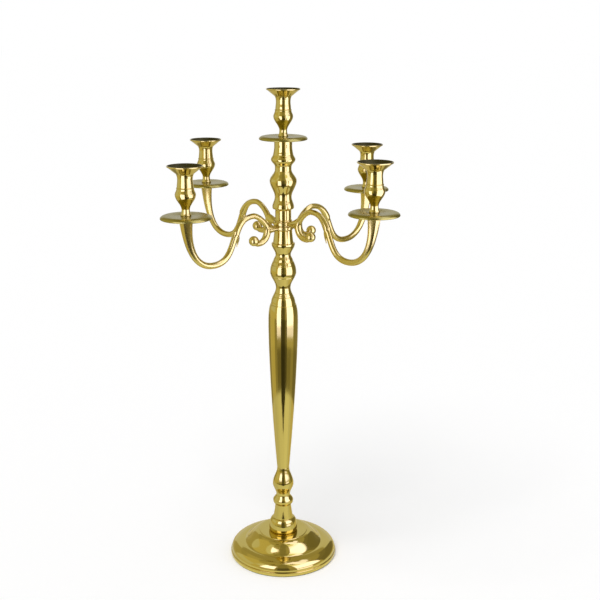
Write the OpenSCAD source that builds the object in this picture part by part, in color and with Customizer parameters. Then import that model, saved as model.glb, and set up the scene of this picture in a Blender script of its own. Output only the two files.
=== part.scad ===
// Tabletop candelabra: a turned brass stem on a domed foot, two cast double arms
// that swivel on the stem, and five candle cups over drip pans. Millimetres, +Z up,
// the underside of the foot's felt on z = 0 and the stem on the z axis.

/* [Foot] */
// Diameter of the foot over its rolled lip
foot_d = 193; // [180:1:215]
// Height of the seat that carries the stem, above the felt's top
foot_h = 43.7; // [40:0.1:50]
// Thickness of the foot's wall
foot_wall = 3; // [2:0.5:4]
// Height of the rolled lip
lip_h = 6.4; // [4:0.2:8]
// Width of the lip's flat underside
lip_w = 5; // [4:0.5:7]
// Diameter of the crease between the flange and the dome
crease_d = 142; // [134:1:150]
// Height of the crease above the felt
crease_h = 23.6; // [20:0.2:27]
// Diameter of the raised disc on top of the dome
disc_d = 87; // [78:1:92]
// Thickness of the felt under the foot
felt_t = 1.2; // [0.8:0.2:3]

/* [Stem] */
// Height of the lower knop, from the foot to the column
lower_knop_h = 124; // [110:1:140]
// Diameter of the bulb at the bottom of the lower knop
lower_bulb_d = 51.6; // [46:0.2:58]
// Diameter of the neck over the lower knop's cone
cone_neck_d = 28.7; // [26:0.1:31]
// Diameter of the lower knop's bead
lower_bead_d = 36.4; // [34:0.2:40]
// Diameter of the neck under the pear
pear_neck_d = 25; // [23:0.2:28]
// Diameter of the pear
pear_d = 37.7; // [34:0.1:42]
// Diameter of the joint between the lower knop and the column
column_foot_d = 21.7; // [20:0.1:24]
// Height of the column
column_h = 336.5; // [300:0.5:370]
// Largest diameter of the column
column_d = 51.6; // [46:0.2:58]
// Diameter of the joint between the column and the upper knop
waist_d = 25.4; // [23:0.2:28]
// Wall round the hollow core of the column
column_wall = 2.5; // [2:0.5:4]
// Wall round the hollow cores of the knops and the top column
knop_wall = 3.5; // [3:0.5:5]
// Height of the upper knop
upper_knop_h = 101.5; // [92:0.5:112]
// Diameter of the upper knop's bulb
knop_bulb_d = 45; // [40:0.5:52]
// Diameter of the cove over that bulb
knop_cove_d = 26.2; // [24:0.2:30]
// Diameter of the upper knop's bead
knop_bead_d = 40.2; // [36:0.2:44]
// Diameter of the upper knop's top, under the arms
knop_top_d = 30.6; // [28:0.2:32]

/* [Top column] */
// Height of the top column, from the arms to the top drip pan
top_column_h = 141; // [128:1:156]
// Diameter of the sleeve over the arms
sleeve_d = 27.2; // [25:0.2:30]
// Diameter of the small bead over the sleeve
small_bead_d = 36.8; // [34:0.2:40]
// Diameter of the waist over the small bead
top_waist_d = 28.6; // [26:0.2:31]
// Diameter of the top column's bulb
top_bulb_d = 45.7; // [41:0.1:52]
// Diameter of the neck over that bulb
top_neck_d = 27.9; // [25:0.1:31]
// Diameter of the top column's bead
top_bead_d = 41.2; // [38:0.2:45]
// Diameter of the shaft under the top drip pan
shaft_d = 30.2; // [27:0.2:33]

/* [Arms] */
// Height of each casting's hub ring
ring_h = 7.5; // [6:0.5:10]
// Outer diameter of the hub rings
ring_d = 34.4; // [32:0.2:38]
// Depth of the shadow gap turned into each face of a ring
ring_relief = 0.5; // [0.2:0.1:1]
// Distance of the outer candle cups from the stem's axis
arm_reach = 206.6; // [190:0.2:225]
// Height of an arm's cup seat over the middle of its ring
arm_rise = 44.8; // [38:0.2:52]
// Distance of the lowest point of the bend from the stem's axis
bend_reach = 152; // [144:1:158]
// Depth of that point's middle under the ring
bend_drop = 42.3; // [38:0.1:46]
// Distance of the arm's crest from the stem's axis
crest_reach = 68; // [64:1:72]
// Height of the crest's middle over the ring
crest_rise = 27.7; // [25:0.1:31]
// Distance of the arm's back from the stem's axis, at the ring
back_reach = 36.5; // [35:0.5:39]
// Distance of the scroll's lowest point from the stem's axis
scroll_reach = 54; // [51:0.5:57]
// Depth of that point's middle under the ring
scroll_drop = 20; // [18:0.5:23]
// Diameter of the arm at its cup seat
arm_end_d = 22.4; // [20:0.2:26]
// Diameter of the arm round the bend
branch_d = 10.4; // [9:0.2:12]
// Diameter of the leaf sheath where the branch comes out of it
sheath_d = 12.6; // [12:0.2:14]
// Diameter of the sheath over the crest
crest_d = 9.2; // [8:0.2:11]
// Diameter of the arm's back, beside the ring
back_d = 12.4; // [11:0.2:14]
// Diameter of the scroll under the arm
scroll_d = 10.4; // [9:0.2:12]
// Diameter of the ball that ends the scroll
ball_d = 17; // [14:0.5:19]

/* [Cups and pans] */
// Height of a candle cup
cup_h = 77.5; // [72:0.5:84]
// Diameter of the cup's flared rim
cup_rim_d = 56.6; // [50:0.2:62]
// Diameter of the candle socket, for a seven-eighths taper
socket_d = 22; // [20:0.5:24]
// Depth of the straight part of the socket
socket_depth = 26; // [20:1:28]
// Wall of the cup round the socket
socket_wall = 1.15; // [1:0.05:2]
// Diameter of the cup's bulb
cup_bulb_d = 33; // [31:0.2:38]
// Diameter of the cup's waist
cup_waist_d = 13; // [12:0.2:16]
// Diameter of a drip pan
pan_d = 81.2; // [74:0.2:88]
// Height of a drip pan with its turned-down edge
pan_h = 6; // [5:0.2:8]
// Thickness of a drip pan
pan_t = 2; // [1.5:0.1:2.5]

/* [Fastenings] */
// Diameter of the threaded tie rod through the stem
rod_d = 8; // [6:0.5:9]
// Depth of the tie rod's thread in the top column
rod_grip = 35; // [25:1:45]
// Diameter of the studs that hold the candle cups
stud_d = 6; // [5:0.5:7]
// Length of a stud's thread in the cup, and in the arm
stud_grip = 12; // [9:0.5:14]
// Diameter of the washer under the foot's seat
washer_d = 30; // [26:1:36]
// Thickness of that washer
washer_t = 2; // [1.5:0.1:3]
// Width across the flats of the tie rod's nut
nut_af = 13; // [13:0.5:17]
// Height of the nut
nut_h = 6.5; // [5:0.1:8]

/* [Clearances] */
// Radial gap between a thread and its hole
thread_gap = 0.05; // [0.02:0.01:0.08]
// Radial gap between the tie rod and what turns or stands round it
rod_gap = 0.08; // [0.04:0.01:0.1]

/* [Hidden] */
$fn = 96;

BRASS = [0.78, 0.66, 0.32];
STEEL = [0.62, 0.63, 0.65];
FELT = [0.12, 0.20, 0.14];

// Curves between two stations of a turned profile
LINE = 0;
EASE = 1;     // upright at both ends, as between a neck and a belly
SHOULDER = 2; // leaves upright and arrives level
ROLL = 3;     // leaves level and arrives upright
FLARE = 4;    // leaves upright and opens towards the next station
SWELL = 5;    // leaves open and arrives upright
OGEE = 6;     // level at both ends, as between a flange and a dome
steps = 8;    // lines in each curve
long_steps = 18;

// Heights of the joints, from the floor up
lip_z = felt_t;
seat_z = felt_t + foot_h;
column_z = seat_z + lower_knop_h;
upper_knop_z = column_z + column_h;
lower_ring_z = upper_knop_z + upper_knop_h;
upper_ring_z = lower_ring_z + ring_h;
top_column_z = upper_ring_z + ring_h;
top_seat_z = top_column_z + top_column_h;
lower_seat_z = lower_ring_z + ring_h / 2 + arm_rise;
upper_seat_z = upper_ring_z + ring_h / 2 + arm_rise;

// The lower double arm lies along y and the upper one along x
FRONT = 270;
BACK = 90;
LEFT = 180;
RIGHT = 0;

// Points from station a up to just before station b; a station is [radius, height, curve, power]
function curve_points(a, b) =
    let (kind = a[2] == undef ? LINE : a[2], p = a[3] == undef ? 2 : a[3],
         n = kind == LINE ? 1 : a[4] == undef ? steps : a[4])
    [for (i = [0 : n - 1]) let (t = i / n)
        kind == EASE ? [a[0] + (b[0] - a[0]) * (1 - cos(180 * t)) / 2, a[1] + (b[1] - a[1]) * t]
      : kind == SHOULDER ? [b[0] + (a[0] - b[0]) * cos(90 * t), a[1] + (b[1] - a[1]) * sin(90 * t)]
      : kind == ROLL ? [a[0] + (b[0] - a[0]) * sin(90 * t), b[1] - (b[1] - a[1]) * cos(90 * t)]
      : kind == FLARE ? [a[0] + (b[0] - a[0]) * pow(t, p), a[1] + (b[1] - a[1]) * t]
      : kind == SWELL ? [b[0] - (b[0] - a[0]) * pow(1 - t, p), a[1] + (b[1] - a[1]) * t]
      : kind == OGEE ? [a[0] + (b[0] - a[0]) * t, a[1] + (b[1] - a[1]) * (1 - cos(180 * pow(t, p))) / 2]
      : [a[0], a[1]]];

// Outline of a turned piece through its stations
function turned(stations) =
    [for (i = [0 : len(stations) - 2]) each curve_points(stations[i], stations[i + 1]),
     [stations[len(stations) - 1][0], stations[len(stations) - 1][1]]];

// An outline moved inwards by a wall
function inset(outline, wall) = [for (i = [0 : len(outline) - 1])
    let (a = outline[max(i - 1, 0)], b = outline[min(i + 1, len(outline) - 1)], d = (b - a) / norm(b - a))
    outline[i] + wall * [-d[1], d[0]]];

// Half outlines closed on the axis, and turned round it
function closed(outline) = concat([[0, outline[0][1]]], outline, [[0, outline[len(outline) - 1][1]]]);
module lathe(outline) { rotate_extrude() polygon(closed(outline)); }

// The cored inside of a turned piece: a wall thinner all round, between two heights
module core(outline, wall, z0, z1) {
    lathe([for (p = outline) if (p[1] >= z0 && p[1] <= z1)
        let (near = [for (q = outline) if (abs(q[1] - p[1]) <= wall) q[0]])
            [max(min(near) - wall, rod_hole_d / 2), p[1]]]);
}

// A round bar or hole along the axis, from one height to another
module bar(d, z0, z1) { translate([0, 0, z0]) cylinder(d = d, h = z1 - z0); }
past = 1;     // room past an open end
core_end = 9; // solid metal left at each end of a hollow core
edge = 0.8;   // bevel on the edges round the hub rings
rod_hole_d = rod_d + 2 * rod_gap;
rod_thread_d = rod_d + 2 * thread_gap;
stud_hole_d = stud_d + 2 * thread_gap;

// ---- Foot ----
foot_r = foot_d / 2;
crease_r = crease_d / 2;
disc_r = disc_d / 2;
crease_z = lip_z + crease_h;
groove_z = lip_z + lip_h;
groove_depth = 2;
groove_h = 1.6;
flange_step = 0.6;  // the flange stands out over the groove
flange_r = foot_r - groove_depth + flange_step;
flange_z = groove_z + groove_h;
disc_step = 1.2;    // height of the disc over the dome
disc_edge = 0.9;
dome_top_z = seat_z - disc_step;
dome_lean = 0.8;    // below one, the dome rises sooner after the crease
washer_margin = 2;  // flat metal round the washer

// Flange and dome, from the lip up to the disc
foot_slope = turned([[flange_r, flange_z, SHOULDER, 1, long_steps],
    [crease_r, crease_z, OGEE, dome_lean, long_steps], [disc_r, dome_top_z]]);

module foot() {
    lip_round = 0.8;
    lip = [[foot_r - lip_round, lip_z, ROLL], [foot_r, lip_z + lip_h / 2, SHOULDER],
           [foot_r - lip_round, groove_z], [foot_r - groove_depth, groove_z + groove_h / 4],
           [foot_r - groove_depth, groove_z + groove_h / 2]];
    top = [[disc_r, seat_z - disc_edge, SHOULDER], [disc_r - disc_edge, seat_z]];
    under_seat = seat_z - foot_wall;
    inside = [for (p = inset(foot_slope, foot_wall)) [min(p[0], foot_r - lip_w), min(p[1], under_seat)]];
    color(BRASS) difference() {
        lathe(concat(turned(lip), foot_slope, turned(top)));
        rotate_extrude() polygon(concat([[0, lip_z - past], [foot_r - lip_w, lip_z - past]],
            inside, [[washer_d / 2 + washer_margin, under_seat], [0, under_seat]]));
        bar(rod_hole_d, lip_z, seat_z + past);
    }
}

felt_inset = 1.5;
module foot_felt() {
    color(FELT) bar(foot_d - 2 * felt_inset, 0, felt_t);
}

module foot_washer() {
    color(STEEL) difference() {
        bar(washer_d, nut_z, seat_z - foot_wall);
        bar(rod_hole_d, nut_z - past, seat_z);
    }
}
nut_z = seat_z - foot_wall - washer_t;

module foot_nut() {
    color(STEEL) difference() {
        translate([0, 0, nut_z - nut_h]) cylinder(d = nut_af / cos(30), h = nut_h, $fn = 6);
        bar(rod_thread_d, nut_z - nut_h - past, nut_z + past);
    }
}

rod_tail = 3;   // thread past the nut
rod_short = 1;  // left free over the rod in the top column
module tie_rod() {
    color(STEEL) bar(rod_d, nut_z - nut_h - rod_tail, top_column_z + rod_grip - rod_short);
}

// ---- Stem ----
module lower_knop() {
    bulb_r = lower_bulb_d / 2;
    cone_r = cone_neck_d / 2;
    bead_r = lower_bead_d / 2;
    bulb_z = seat_z + 5;
    cone_z = bulb_z + 20.5;
    bead_z = column_z - 72.5;
    pear_z = column_z - 31.5;
    outline = turned([[bulb_r - 2.3, seat_z, ROLL], [bulb_r, bulb_z, SHOULDER],
        [bulb_r - 8, cone_z], [cone_r + 3.4, cone_z + 0.6, SWELL, 1.4], [cone_r, bead_z],
        [cone_r + 0.8, bead_z + 1.2, ROLL], [bead_r, bead_z + 8, EASE],
        [pear_neck_d / 2, bead_z + 19.5, EASE], [pear_d / 2, pear_z, EASE, 2, 12],
        [column_foot_d / 2, column_z]]);
    color(BRASS) difference() {
        lathe(outline);
        core(outline, knop_wall, seat_z + core_end, column_z - core_end);
        bar(rod_hole_d, seat_z - past, column_z + past);
    }
}

module column() {
    top_r = column_d / 2;
    ledge_r = top_r - 4.2;
    shoulder_z = upper_knop_z - 27;
    outline = turned([[column_foot_d / 2, column_z, SWELL, 1.55, long_steps],
        [top_r, upper_knop_z - 67, FLARE, 3.3], [top_r - 3.2, shoulder_z - 3],
        [ledge_r, shoulder_z - 2.6], [ledge_r, shoulder_z - 1.4],
        [ledge_r - 0.6, shoulder_z, EASE], [waist_d / 2, upper_knop_z]]);
    color(BRASS) difference() {
        lathe(outline);
        core(outline, column_wall, column_z + core_end, upper_knop_z - core_end);
        bar(rod_hole_d, column_z - past, upper_knop_z + past);
    }
}

module upper_knop() {
    bulb_r = knop_bulb_d / 2;
    cove_r = knop_cove_d / 2;
    bead_r = knop_bead_d / 2;
    top_r = knop_top_d / 2;
    bulb_z = upper_knop_z + 28;
    ring_z = bulb_z + 18.5;
    cove_z = upper_knop_z + 57.5;
    bead_z = upper_knop_z + 77;
    outline = turned([[waist_d / 2, upper_knop_z, EASE], [bulb_r, bulb_z, FLARE, 2],
        [bulb_r - 4.9, ring_z], [bulb_r - 5.6, ring_z + 0.4], [bulb_r - 5.6, ring_z + 1.6],
        [cove_r + 3.3, ring_z + 2, EASE], [cove_r, cove_z, EASE], [bead_r, bead_z, SHOULDER],
        [bead_r - 1.2, bead_z + 1.6], [top_r + 2.3, bead_z + 2, SWELL, 1.6],
        [top_r, lower_ring_z - edge], [top_r - edge, lower_ring_z]]);
    color(BRASS) difference() {
        lathe(outline);
        core(outline, knop_wall, upper_knop_z + core_end, lower_ring_z - core_end);
        bar(rod_hole_d, upper_knop_z - past, lower_ring_z + past);
    }
}

module top_column() {
    sleeve_r = sleeve_d / 2;
    small_r = small_bead_d / 2;
    waist_r = top_waist_d / 2;
    bulb_r = top_bulb_d / 2;
    neck_r = top_neck_d / 2;
    bead_r = top_bead_d / 2;
    shaft_r = shaft_d / 2;
    small_z = top_column_z + 24;
    bulb_z = top_column_z + 68.5;
    bead_z = top_column_z + 104;
    outline = turned([[sleeve_r + 0.6, top_column_z], [sleeve_r + 1.4, top_column_z + 0.8, SHOULDER],
        [sleeve_r, top_column_z + 2.4], [sleeve_r, small_z - 6, FLARE, 2],
        [sleeve_r + 1.2, small_z - 3.6], [small_r - 2, small_z - 3.2, ROLL], [small_r, small_z, EASE],
        [waist_r, top_column_z + 41, EASE], [bulb_r, bulb_z, EASE], [neck_r, bulb_z + 19],
        [neck_r, bead_z - 12, EASE], [bead_r, bead_z, EASE], [shaft_r + 1.6, bead_z + 10, SWELL, 2],
        [shaft_r, top_seat_z - 14], [shaft_r, top_seat_z]]);
    color(BRASS) difference() {
        lathe(outline);
        core(outline, knop_wall, top_column_z + rod_grip + core_end / 2,
             top_seat_z - stud_grip - core_end / 2);
        bar(rod_thread_d, top_column_z - past, top_column_z + rod_grip);
        bar(stud_hole_d, top_seat_z - stud_grip, top_seat_z + past);
    }
}

// ---- Arms ----
// Middle line of an arm in its own upright plane, as four cubic curves: from the cup seat
// down to the bend, up to the crest, down the back beside the ring, and into the scroll
seat_point = [arm_reach, arm_rise];
bend_point = [bend_reach, -bend_drop];
crest_point = [crest_reach, crest_rise];
back_point = [back_reach, 0];
scroll_point = [scroll_reach, -scroll_drop];
ball_point = scroll_point + [12.5, 5.5];
ball_heading = [cos(40), sin(40)];
ball_start = asin(scroll_d / ball_d);
ARM_CURVES = [
    [seat_point, seat_point - [0, 65], bend_point + [30, 0], bend_point],
    [bend_point, bend_point - [54, 0], crest_point + [54, 0], crest_point],
    [crest_point, crest_point - [12, 0], back_point + [0, 10], back_point],
    [back_point, back_point - [0, 12], scroll_point - [9, 0], scroll_point],
    [scroll_point, scroll_point + [3, 0], ball_end(ball_start) - 2 * ball_heading, ball_end(ball_start)]];
ARM_STEPS = [14, 18, 9, 8, 3];
ball_steps = 6;
ball_stop = 172;
arm_sides = 14;

// Middle of the hoop round the ball at an angle a from the scroll's side, and that hoop
function ball_end(a) = ball_point - ball_d / 2 * cos(a) * ball_heading;
function ball_hoop(a) = let (r = ball_d / 2 * sin(a)) hoop(ball_end(a), ball_heading, r, r, arm_sides);
function cubic(c, t) = pow(1 - t, 3) * c[0] + 3 * pow(1 - t, 2) * t * c[1]
    + 3 * (1 - t) * t * t * c[2] + pow(t, 3) * c[3];
function cubic_heading(c, t) = let (v = pow(1 - t, 2) * (c[1] - c[0])
    + 2 * (1 - t) * t * (c[2] - c[1]) + t * t * (c[3] - c[2])) v / norm(v);
function ease(a, b, t) = a + (b - a) * (1 - cos(180 * max(0, min(1, t)))) / 2;

// The leaf sheath's oblique end, and its taper to the crest, along the second curve
sheath_start = 0.5;
sheath_full = 0.56;
sheath_taper = 0.34;

// Radius of the arm at t along one of its curves
function arm_r(k, t) =
    k == 0 ? branch_d / 2 + (arm_end_d - branch_d) / 2 * pow(1 - t, 4)
  : k == 1 ? (t < sheath_full
        ? ease(branch_d, sheath_d, (t - sheath_start) / (sheath_full - sheath_start))
        : ease(sheath_d, crest_d, (t - sheath_full) / sheath_taper)) / 2
  : k == 2 ? (crest_d + (back_d - crest_d) * pow(t, 3)) / 2
  : k == 3 ? ease(back_d, scroll_d, t) / 2
  : scroll_d / 2;

// A ring of points across the middle line, at its place and heading, as an ellipse
function hoop(place, heading, r_in_plane, r_across, sides) =
    [for (j = [0 : sides - 1]) let (a = 360 * j / sides)
        [place[0] - heading[1] * r_in_plane * cos(a), r_across * sin(a),
         place[1] + heading[0] * r_in_plane * cos(a)]];

// A closed tube through hoops of the same number of points
module tube(hoops) {
    n = len(hoops[0]);
    last = len(hoops) - 1;
    polyhedron(points = [for (h = hoops) each h], convexity = 6, faces = concat(
        [[for (j = [n - 1 : -1 : 0]) j]],
        [for (i = [0 : last - 1]) for (j = [0 : n - 1]) let (k = (j + 1) % n)
            each [[i * n + j, i * n + k, (i + 1) * n + j], [i * n + k, (i + 1) * n + k, (i + 1) * n + j]]],
        [[for (j = [0 : n - 1]) last * n + j]]));
}

// The leaf's pointed tip, which curls off the branch towards the stem
tip_root = [bend_reach - 46.5, 4];
tip_curve = [tip_root, tip_root - [3.5, 8], tip_root - [5, 16], tip_root - [1.5, 23]];
leaf_root_r = 5.4;
leaf_tip_r = 0.9;
leaf_steps = 5;
leaf_sides = 8;
// The web between the ring and the arm's back
web_curve = [[ring_d / 2 - 4, 0], [ring_d / 2 + 4, 0], back_point + [-8, 1], back_point + [0, 4]];
web_w = 12;
web_end_h = 16;
web_inset = 0.4;
web_sides = 12;

module arm() {
    tube([for (k = [0 : 4]) for (i = [k == 0 ? 0 : 1 : ARM_STEPS[k]])
              let (t = i / ARM_STEPS[k], r = arm_r(k, t))
              hoop(cubic(ARM_CURVES[k], t), cubic_heading(ARM_CURVES[k], t), r, r, arm_sides),
          for (i = [1 : ball_steps]) let (a = ball_start + (ball_stop - ball_start) * i / ball_steps)
              ball_hoop(a)]);
    tube([for (i = [0 : leaf_steps]) let (t = i / leaf_steps, r = ease(leaf_root_r, leaf_tip_r, t))
        hoop(cubic(tip_curve, t), cubic_heading(tip_curve, t), r, r, leaf_sides)]);
    tube([for (i = [0 : leaf_steps]) let (t = i / leaf_steps)
        hoop(cubic(web_curve, t), cubic_heading(web_curve, t),
             ease(ring_h / 2 - web_inset, web_end_h / 2, t),
             ease(web_w / 2, back_d / 2 - web_inset, t), web_sides)]);
}

module hub_ring() {
    r = ring_d / 2;
    seat_r = knop_top_d / 2 - edge;
    top = ring_h - ring_relief;
    lathe([[seat_r, 0], [seat_r, ring_relief], [r - edge, ring_relief], [r, ring_relief + edge],
           [r, top - edge], [r - edge, top], [seat_r, top], [seat_r, ring_h]]);
}

// Two arms on one ring, pointing along the two directions given
module double_arm(ring_z, directions) {
    color(BRASS) difference() {
        union() {
            translate([0, 0, ring_z]) hub_ring();
            for (a = directions) rotate(a) translate([0, 0, ring_z + ring_h / 2]) arm();
        }
        bar(rod_hole_d, ring_z - past, ring_z + ring_h + past);
        for (a = directions) rotate(a) translate([arm_reach, 0, ring_z + ring_h / 2 + arm_rise - stud_grip])
            cylinder(d = stud_hole_d, h = stud_grip + past);
    }
}
module lower_arms() { double_arm(lower_ring_z, [FRONT, BACK]); }
module upper_arms() { double_arm(upper_ring_z, [LEFT, RIGHT]); }

// ---- Cups, pans and studs, which stand alike on every seat ----
module on_arm(direction, z) { rotate(direction) translate([arm_reach, 0, z]) children(); }

stud_short = 0.5;
module stud() {
    color(STEEL) bar(stud_d, stud_short - stud_grip, stud_grip + pan_t - stud_short);
}

// A pan: a flat plate whose edge turns down to a rounded rim
pan_edge = 8; // width of the turned-down edge
module pan() {
    r = pan_d / 2;
    skirt = pan_h - pan_t;
    color(BRASS) difference() {
        rotate_extrude() polygon(concat([[0, 0]],
            turned([[r - pan_edge + 0.6, 0, LINE], [r - 2.6, -skirt + 1, LINE], [r - 1.6, -skirt, ROLL],
                    [r, -skirt + 1.3, SHOULDER], [r - pan_edge, pan_t]]), [[0, pan_t]]));
        bar(stud_hole_d, -past, pan_t + past);
    }
}

// A candle cup: waist, bulb and neck under a flared rim, round a plain socket
module cup() {
    rim_r = cup_rim_d / 2;
    socket_r = socket_d / 2;
    neck_r = socket_r + socket_wall;
    waist_r = cup_waist_d / 2;
    bulb_r = cup_bulb_d / 2;
    mouth_z = cup_h - 14.5;
    neck_z = cup_h - 21.5;
    bulb_z = cup_h - 45;
    line_z = cup_h - 35.5;
    color(BRASS) difference() {
        lathe(turned([[waist_r + 2, 0], [waist_r + 2, 0.8, SWELL, 2], [waist_r, 8.8, EASE],
            [bulb_r, bulb_z, EASE], [neck_r + 1.6, line_z], [neck_r + 2.1, line_z + 0.7],
            [neck_r + 1.6, line_z + 1.6], [neck_r + 0.9, line_z + 2, EASE], [neck_r, neck_z, FLARE, 2.5],
            [neck_r + 2, neck_z + 9], [rim_r - 1.1, cup_h - 2.3, ROLL], [rim_r, cup_h - 1, SHOULDER],
            [rim_r - 0.5, cup_h]]));
        lathe(turned([[socket_r, mouth_z - 1, FLARE, 1.6], [socket_r + 2.4, cup_h - 11.4],
            [rim_r - 1.9, cup_h - 0.9], [rim_r - 1.5, cup_h + 0.01]]));
        bar(socket_d, mouth_z - socket_depth, mouth_z);
        bar(stud_hole_d, -past, stud_grip);
    }
}

module top_stud() { translate([0, 0, top_seat_z]) stud(); }
module lower_studs() { for (a = [FRONT, BACK]) on_arm(a, lower_seat_z) stud(); }
module upper_studs() { for (a = [LEFT, RIGHT]) on_arm(a, upper_seat_z) stud(); }

foot();
foot_felt();
foot_washer();
foot_nut();
tie_rod();
lower_knop();
column();
upper_knop();
lower_arms();
upper_arms();
top_column();
top_stud();
lower_studs();
upper_studs();
translate([0, 0, top_seat_z]) pan();  // top_pan
on_arm(FRONT, lower_seat_z) pan();  // front_pan
on_arm(BACK, lower_seat_z) pan();  // back_pan
on_arm(LEFT, upper_seat_z) pan();  // left_pan
on_arm(RIGHT, upper_seat_z) pan();  // right_pan
translate([0, 0, top_seat_z + pan_t]) cup();  // top_cup
on_arm(FRONT, lower_seat_z + pan_t) cup();  // front_cup
on_arm(BACK, lower_seat_z + pan_t) cup();  // back_cup
on_arm(LEFT, upper_seat_z + pan_t) cup();  // left_cup
on_arm(RIGHT, upper_seat_z + pan_t) cup();  // right_cup
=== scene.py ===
"""A five-light brass candelabra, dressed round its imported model, in a small studio.

Every piece of brass is spun or swept here at full finish and stands for the plain solid of
the same name. The hidden fastenings and the felt keep their solids and get their finish.
"""

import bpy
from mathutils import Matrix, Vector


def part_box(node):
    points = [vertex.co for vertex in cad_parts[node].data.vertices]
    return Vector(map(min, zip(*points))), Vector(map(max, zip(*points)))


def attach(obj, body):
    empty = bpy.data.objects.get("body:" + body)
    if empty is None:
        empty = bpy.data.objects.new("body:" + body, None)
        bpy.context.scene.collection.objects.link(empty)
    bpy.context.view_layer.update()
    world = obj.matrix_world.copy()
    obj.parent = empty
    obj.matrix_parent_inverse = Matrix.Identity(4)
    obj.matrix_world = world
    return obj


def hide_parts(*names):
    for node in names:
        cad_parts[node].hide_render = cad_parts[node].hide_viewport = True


bl_info = {
    "name": "Brass candelabra",
    "version": (1, 0, 0),
    "blender": (4, 5, 0),
    "location": "View3D > Sidebar > Candelabra",
    "description": "Polished brass candelabra with swivelling double arms and five candle cups",
    "category": "Add Mesh",
}

from math import asin, cos, hypot, pi, radians, sin

import bmesh
import bpy
from mathutils import Matrix, Vector

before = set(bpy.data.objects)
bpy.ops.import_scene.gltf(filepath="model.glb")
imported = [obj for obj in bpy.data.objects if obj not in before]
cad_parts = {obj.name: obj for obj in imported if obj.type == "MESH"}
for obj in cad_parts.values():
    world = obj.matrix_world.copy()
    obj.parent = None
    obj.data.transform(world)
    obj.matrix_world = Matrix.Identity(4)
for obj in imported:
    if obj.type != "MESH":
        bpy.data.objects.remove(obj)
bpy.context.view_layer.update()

MM = 0.001
SPIN_STEPS = 144  # facets round a turned piece
CURVE_STEPS = 14  # lines in each curve of an outline
CRISP = radians(24)  # edges sharper than this stay sharp
ROUNDING = 0.25 * MM  # width of the round on a sharp edge
RIM_ROUNDING = 0.2 * MM  # the same on a cup's thin rim
WELD = 1e-6  # points closer than this are one
KNOP_EDGE = 0.8 * MM  # chamfer round the seat of the lower arms

SEATS = {
    "top": "stem",
    "front": "lower_arm_set",
    "back": "lower_arm_set",
    "left": "upper_arm_set",
    "right": "upper_arm_set",
}


# ---- Sizes and colours that a user would change ----
def size(name, mm, description):
    """A length, with its default given in millimetres."""
    return bpy.props.FloatProperty(
        name=name, description=description, default=mm * MM, min=0.0, unit="LENGTH", precision=4
    )


def share(name, default, description):
    """A plain number from nought to one."""
    return bpy.props.FloatProperty(
        name=name, description=description, default=default, min=0.0, max=1.0
    )


def colour(name, default, description):
    """A colour without alpha, in linear light."""
    return bpy.props.FloatVectorProperty(
        name=name, description=description, default=default,
        min=0.0, max=1.0, size=3, subtype="COLOR",
    )


def turn(name, degrees, description):
    """An angle, with its default given in degrees."""
    return bpy.props.FloatProperty(
        name=name, description=description, default=radians(degrees), subtype="ANGLE"
    )


class FootSizes(bpy.types.PropertyGroup):
    """Sizes of the domed foot."""

    wall: size("Wall", 3, "Thickness of the foot's wall")
    lip_height: size("Lip", 6.4, "Height of the rolled lip")
    groove_depth: size("Groove", 2, "Depth of the groove over the lip")
    crease_width: size("Crease", 142, "Diameter of the crease between the flange and the dome")
    crease_height: size("Crease height", 23.6, "Height of the crease over the felt")
    disc_width: size("Disc", 87, "Diameter of the raised disc that carries the stem")


class StemSizes(bpy.types.PropertyGroup):
    """Diameters of the turned pieces of the stem, from the foot up."""

    rod_hole: size("Rod hole", 8.16, "Diameter of the hole for the tie rod")
    lower_bulb: size("Bottom bulb", 51.6, "Diameter of the bulb on the foot")
    cone_neck: size("Cone neck", 28.7, "Diameter of the neck over the cone")
    lower_bead: size("Lower bead", 36.4, "Diameter of the lower knop's bead")
    pear_neck: size("Pear neck", 25, "Diameter of the neck under the pear")
    pear: size("Pear", 37.7, "Diameter of the pear")
    column_foot: size("Column foot", 21.7, "Diameter of the joint under the column")
    column: size("Column", 51.6, "Largest diameter of the column")
    waist: size("Waist", 25.4, "Diameter of the joint over the column")
    knop_bulb: size("Knop bulb", 45, "Diameter of the upper knop's bulb")
    knop_cove: size("Knop cove", 26.2, "Diameter of the cove over that bulb")
    knop_bead: size("Knop bead", 40.2, "Diameter of the upper knop's bead")
    knop_top: size("Knop top", 30.6, "Diameter of the upper knop under the arms")
    sleeve: size("Sleeve", 27.2, "Diameter of the sleeve over the arms")
    small_bead: size("Small bead", 36.8, "Diameter of the small bead over the sleeve")
    top_waist: size("Top waist", 28.6, "Diameter of the waist over the small bead")
    top_bulb: size("Top bulb", 45.7, "Diameter of the top column's bulb")
    top_neck: size("Top neck", 27.9, "Diameter of the neck over that bulb")
    top_bead: size("Top bead", 41.2, "Diameter of the top column's bead")
    shaft: size("Shaft", 30.2, "Diameter of the shaft under the top drip pan")


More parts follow.
